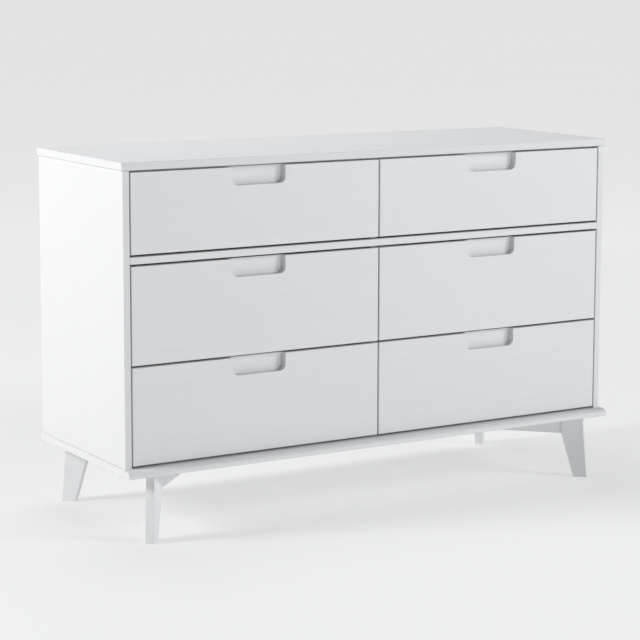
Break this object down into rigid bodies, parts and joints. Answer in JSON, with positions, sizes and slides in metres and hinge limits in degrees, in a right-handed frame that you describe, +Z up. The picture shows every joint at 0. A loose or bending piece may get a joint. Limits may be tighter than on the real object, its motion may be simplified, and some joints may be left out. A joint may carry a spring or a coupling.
{
  "type": "dresser with drawers",
  "caption": "Low, wide chest of drawers in two columns, with notched finger pulls and splayed plank legs on diagonal braces.",
  "frame": {"origin": "on the floor, under the middle of the dresser's outer box", "axes": "+X to the right seen from the front, +Y to the back, +Z up; the drawers open towards -Y"},
  "size_m": [1.332, 0.478, 0.851],
  "materials": {
    "white_paint": "satin paint",
    "drawer_front_paint": "satin paint",
    "back_board": "matte painted board",
    "drawer_box_wood": "clear lacquer on pine",
    "drawer_bottom_board": "matte hardboard",
    "steel_slide": "zinc plated"
  },
  "bodies": {
    "root": {"top_panel": "white_paint", "side_panel_left": "white_paint", "side_panel_right": "white_paint", "center_divider": "white_paint", "mid_rail": "white_paint", "top_rail_front": "white_paint", "top_rail_rear": "white_paint", "back_panel": "back_board", "base_panel": "white_paint", "leg_front_left": "white_paint", "brace_front_left": "white_paint", "leg_front_right": "white_paint", "brace_front_right": "white_paint", "leg_rear_left": "white_paint", "brace_rear_left": "white_paint", "leg_rear_right": "white_paint", "brace_rear_right": "white_paint", "slide_left_1_inner": "steel_slide", "slide_left_1_outer": "steel_slide", "slide_left_2_inner": "steel_slide", "slide_left_2_outer": "steel_slide", "slide_left_3_inner": "steel_slide", "slide_left_3_outer": "steel_slide", "slide_right_1_inner": "steel_slide", "slide_right_1_outer": "steel_slide", "slide_right_2_inner": "steel_slide", "slide_right_2_outer": "steel_slide", "slide_right_3_inner": "steel_slide", "slide_right_3_outer": "steel_slide"},
    "drawer_left_1": {"drawer_left_1_front": "drawer_front_paint", "drawer_left_1_side_inner": "drawer_box_wood", "drawer_left_1_side_outer": "drawer_box_wood", "drawer_left_1_back": "drawer_box_wood", "drawer_left_1_bottom": "drawer_bottom_board"},
    "drawer_left_2": {"drawer_left_2_front": "drawer_front_paint", "drawer_left_2_side_inner": "drawer_box_wood", "drawer_left_2_side_outer": "drawer_box_wood", "drawer_left_2_back": "drawer_box_wood", "drawer_left_2_bottom": "drawer_bottom_board"},
    "drawer_left_3": {"drawer_left_3_front": "drawer_front_paint", "drawer_left_3_side_inner": "drawer_box_wood", "drawer_left_3_side_outer": "drawer_box_wood", "drawer_left_3_back": "drawer_box_wood", "drawer_left_3_bottom": "drawer_bottom_board"},
    "drawer_right_1": {"drawer_right_1_front": "drawer_front_paint", "drawer_right_1_side_inner": "drawer_box_wood", "drawer_right_1_side_outer": "drawer_box_wood", "drawer_right_1_back": "drawer_box_wood", "drawer_right_1_bottom": "drawer_bottom_board"},
    "drawer_right_2": {"drawer_right_2_front": "drawer_front_paint", "drawer_right_2_side_inner": "drawer_box_wood", "drawer_right_2_side_outer": "drawer_box_wood", "drawer_right_2_back": "drawer_box_wood", "drawer_right_2_bottom": "drawer_bottom_board"},
    "drawer_right_3": {"drawer_right_3_front": "drawer_front_paint", "drawer_right_3_side_inner": "drawer_box_wood", "drawer_right_3_side_outer": "drawer_box_wood", "drawer_right_3_back": "drawer_box_wood", "drawer_right_3_bottom": "drawer_bottom_board"}
  },
  "joints": [
    {"name": "drawer_left_1_slide", "type": "slide", "parent": "root", "child": "drawer_left_1", "axis": [0, -1, 0], "range_m": [0, 0.3]},
    {"name": "drawer_left_2_slide", "type": "slide", "parent": "root", "child": "drawer_left_2", "axis": [0, -1, 0], "range_m": [0, 0.3]},
    {"name": "drawer_left_3_slide", "type": "slide", "parent": "root", "child": "drawer_left_3", "axis": [0, -1, 0], "range_m": [0, 0.3]},
    {"name": "drawer_right_1_slide", "type": "slide", "parent": "root", "child": "drawer_right_1", "axis": [0, -1, 0], "range_m": [0, 0.3]},
    {"name": "drawer_right_2_slide", "type": "slide", "parent": "root", "child": "drawer_right_2", "axis": [0, -1, 0], "range_m": [0, 0.3]},
    {"name": "drawer_right_3_slide", "type": "slide", "parent": "root", "child": "drawer_right_3", "axis": [0, -1, 0], "range_m": [0, 0.3]}
  ]
}
